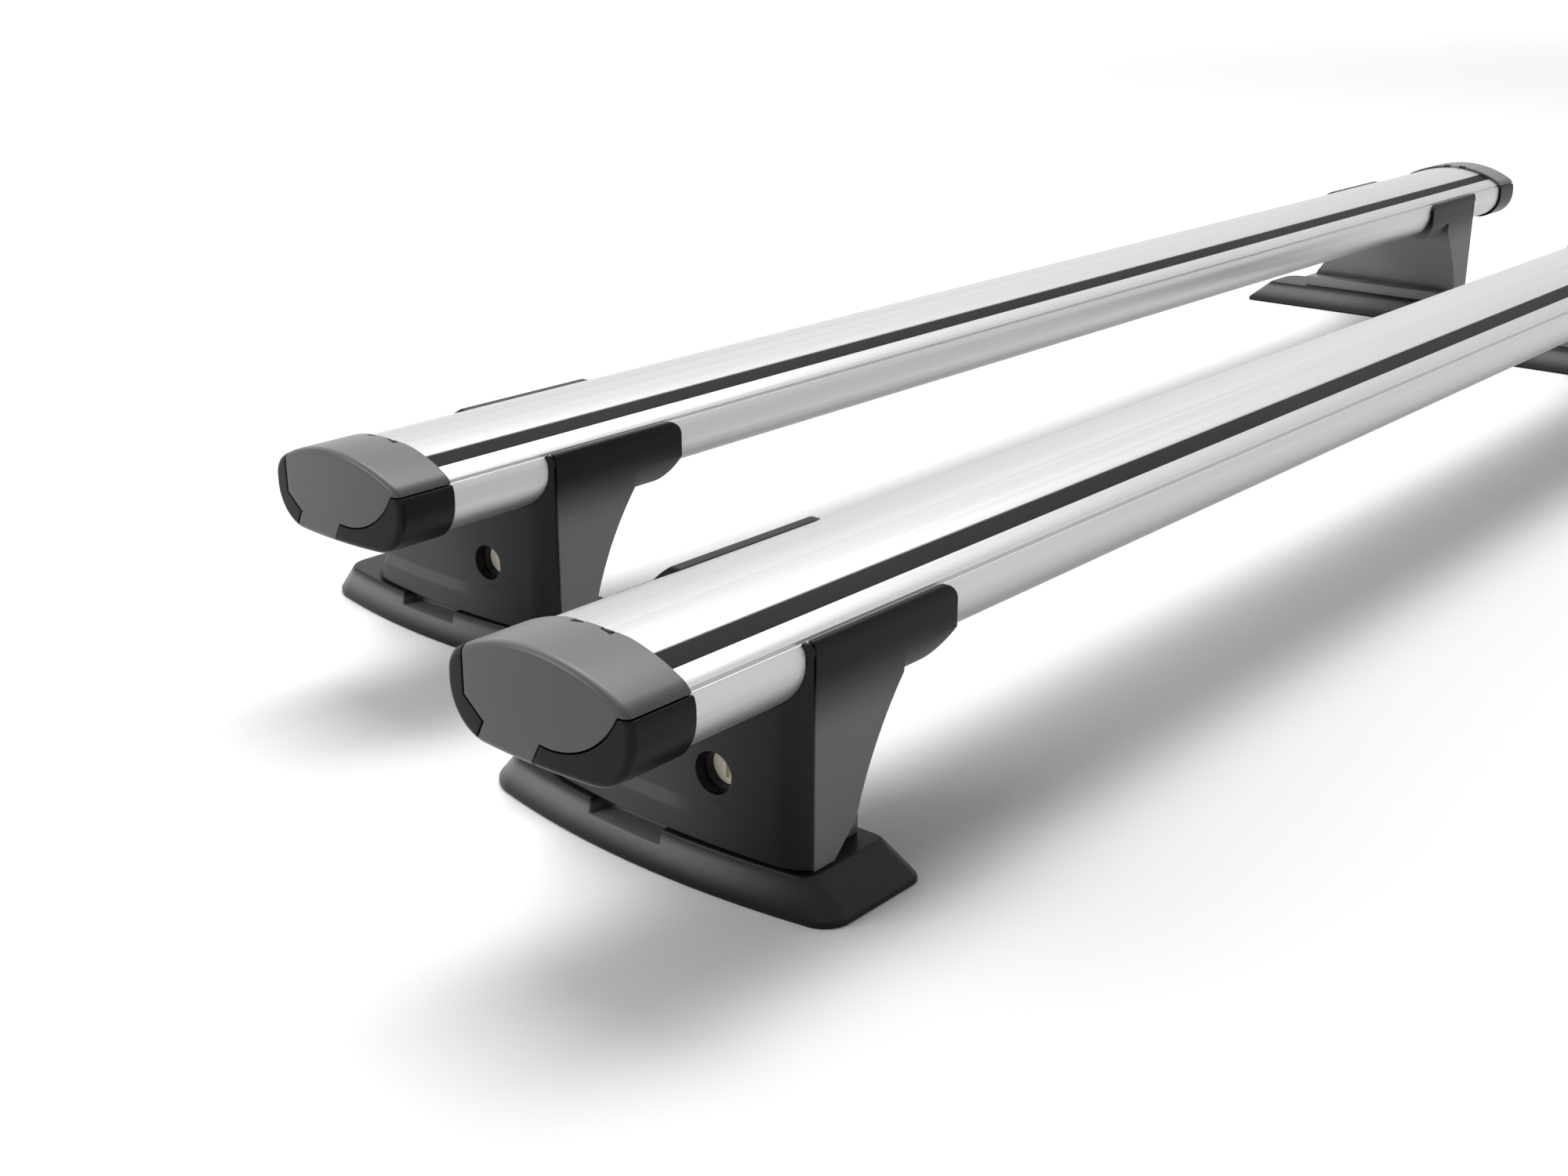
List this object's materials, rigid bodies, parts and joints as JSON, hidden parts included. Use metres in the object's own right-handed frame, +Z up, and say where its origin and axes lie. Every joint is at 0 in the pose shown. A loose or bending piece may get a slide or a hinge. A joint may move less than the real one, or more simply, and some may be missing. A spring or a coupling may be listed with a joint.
{
  "type": "roof crossbars",
  "caption": "Pair of wing-section aluminium roof crossbars on locking legs with rubber feet, hinged end caps and an accessory slot.",
  "frame": {"origin": "centre of the pair's footprint at roof level", "axes": "+X along the bars, +Y from the front bar to the rear bar, +Z up"},
  "size_m": [1.3012, 0.4178, 0.1158],
  "materials": {
    "bar_aluminium": "satin clear anodised, fine lengthwise die lines",
    "infill_rubber": "matt",
    "cap_plastic": "fine grained",
    "leg_plastic": "satin, fine grained",
    "cover_plastic": "satin, fine grained",
    "pad_rubber": "satin moulded",
    "screw_steel": "bright zinc",
    "plate_steel": "zinc plated",
    "lock_zinc": "cast",
    "lock_brass": "pale, satin"
  },
  "bodies": {
    "bars_and_legs": {"front_crossbar": "bar_aluminium", "front_slot_infill": "infill_rubber", "front_cap_screws": "screw_steel", "front_leg_screws": "screw_steel", "rear_crossbar": "bar_aluminium", "rear_slot_infill": "infill_rubber", "rear_cap_screws": "screw_steel", "rear_leg_screws": "screw_steel", "front_left_end_plug": "cap_plastic", "front_left_flap_pin": "screw_steel", "front_left_leg_tower": "leg_plastic", "front_left_base_pad": "pad_rubber", "front_left_clamp_plate": "plate_steel", "front_left_tension_bolt": "screw_steel", "front_left_trunnion_nut": "plate_steel", "front_right_end_plug": "cap_plastic", "front_right_flap_pin": "screw_steel", "front_right_leg_tower": "leg_plastic", "front_right_base_pad": "pad_rubber", "front_right_clamp_plate": "plate_steel", "front_right_tension_bolt": "screw_steel", "front_right_trunnion_nut": "plate_steel", "rear_left_end_plug": "cap_plastic", "rear_left_flap_pin": "screw_steel", "rear_left_leg_tower": "leg_plastic", "rear_left_base_pad": "pad_rubber", "rear_left_clamp_plate": "plate_steel", "rear_left_tension_bolt": "screw_steel", "rear_left_trunnion_nut": "plate_steel", "rear_right_end_plug": "cap_plastic", "rear_right_flap_pin": "screw_steel", "rear_right_leg_tower": "leg_plastic", "rear_right_base_pad": "pad_rubber", "rear_right_clamp_plate": "plate_steel", "rear_right_tension_bolt": "screw_steel", "rear_right_trunnion_nut": "plate_steel"},
    "front_left_flap": {"front_left_end_flap": "cap_plastic"},
    "front_left_cover": {"front_left_leg_cover": "cover_plastic", "front_left_lock_housing": "lock_zinc"},
    "front_left_lock": {"front_left_lock_cylinder": "lock_brass", "front_left_lock_cam": "plate_steel"},
    "front_right_flap": {"front_right_end_flap": "cap_plastic"},
    "front_right_cover": {"front_right_leg_cover": "cover_plastic", "front_right_lock_housing": "lock_zinc"},
    "front_right_lock": {"front_right_lock_cylinder": "lock_brass", "front_right_lock_cam": "plate_steel"},
    "rear_left_flap": {"rear_left_end_flap": "cap_plastic"},
    "rear_left_cover": {"rear_left_leg_cover": "cover_plastic", "rear_left_lock_housing": "lock_zinc"},
    "rear_left_lock": {"rear_left_lock_cylinder": "lock_brass", "rear_left_lock_cam": "plate_steel"},
    "rear_right_flap": {"rear_right_end_flap": "cap_plastic"},
    "rear_right_cover": {"rear_right_leg_cover": "cover_plastic", "rear_right_lock_housing": "lock_zinc"},
    "rear_right_lock": {"rear_right_lock_cylinder": "lock_brass", "rear_right_lock_cam": "plate_steel"}
  },
  "joints": [
    {"name": "front_left_flap_hinge", "type": "hinge", "parent": "bars_and_legs", "child": "front_left_flap", "pos_m": [-0.6226, -0.1526, 0.1135], "axis": [0, 1, 0], "range_deg": [0, 90]},
    {"name": "front_left_cover_slide", "type": "slide", "parent": "bars_and_legs", "child": "front_left_cover", "axis": [-1, 0, 0], "range_m": [0, 0.045]},
    {"name": "front_left_lock_turn", "type": "hinge", "parent": "front_left_cover", "child": "front_left_lock", "pos_m": [-0.56, -0.1566, 0.046], "axis": [-1, 0, 0], "range_deg": [0, 90]},
    {"name": "front_right_flap_hinge", "type": "hinge", "parent": "bars_and_legs", "child": "front_right_flap", "pos_m": [0.5226, -0.1526, 0.1135], "axis": [0, -1, 0], "range_deg": [0, 90]},
    {"name": "front_right_cover_slide", "type": "slide", "parent": "bars_and_legs", "child": "front_right_cover", "axis": [1, 0, 0], "range_m": [0, 0.045]},
    {"name": "front_right_lock_turn", "type": "hinge", "parent": "front_right_cover", "child": "front_right_lock", "pos_m": [0.46, -0.1566, 0.046], "axis": [-1, 0, 0], "range_deg": [0, 90]},
    {"name": "rear_left_flap_hinge", "type": "hinge", "parent": "bars_and_legs", "child": "rear_left_flap", "pos_m": [-0.5226, 0.0794, 0.1135], "axis": [0, 1, 0], "range_deg": [0, 90]},
    {"name": "rear_left_cover_slide", "type": "slide", "parent": "bars_and_legs", "child": "rear_left_cover", "axis": [-1, 0, 0], "range_m": [0, 0.045]},
    {"name": "rear_left_lock_turn", "type": "hinge", "parent": "rear_left_cover", "child": "rear_left_lock", "pos_m": [-0.46, 0.0754, 0.046], "axis": [-1, 0, 0], "range_deg": [0, 90]},
    {"name": "rear_right_flap_hinge", "type": "hinge", "parent": "bars_and_legs", "child": "rear_right_flap", "pos_m": [0.6226, 0.0794, 0.1135], "axis": [0, -1, 0], "range_deg": [0, 90]},
    {"name": "rear_right_cover_slide", "type": "slide", "parent": "bars_and_legs", "child": "rear_right_cover", "axis": [1, 0, 0], "range_m": [0, 0.045]},
    {"name": "rear_right_lock_turn", "type": "hinge", "parent": "rear_right_cover", "child": "rear_right_lock", "pos_m": [0.56, 0.0754, 0.046], "axis": [-1, 0, 0], "range_deg": [0, 90]}
  ]
}
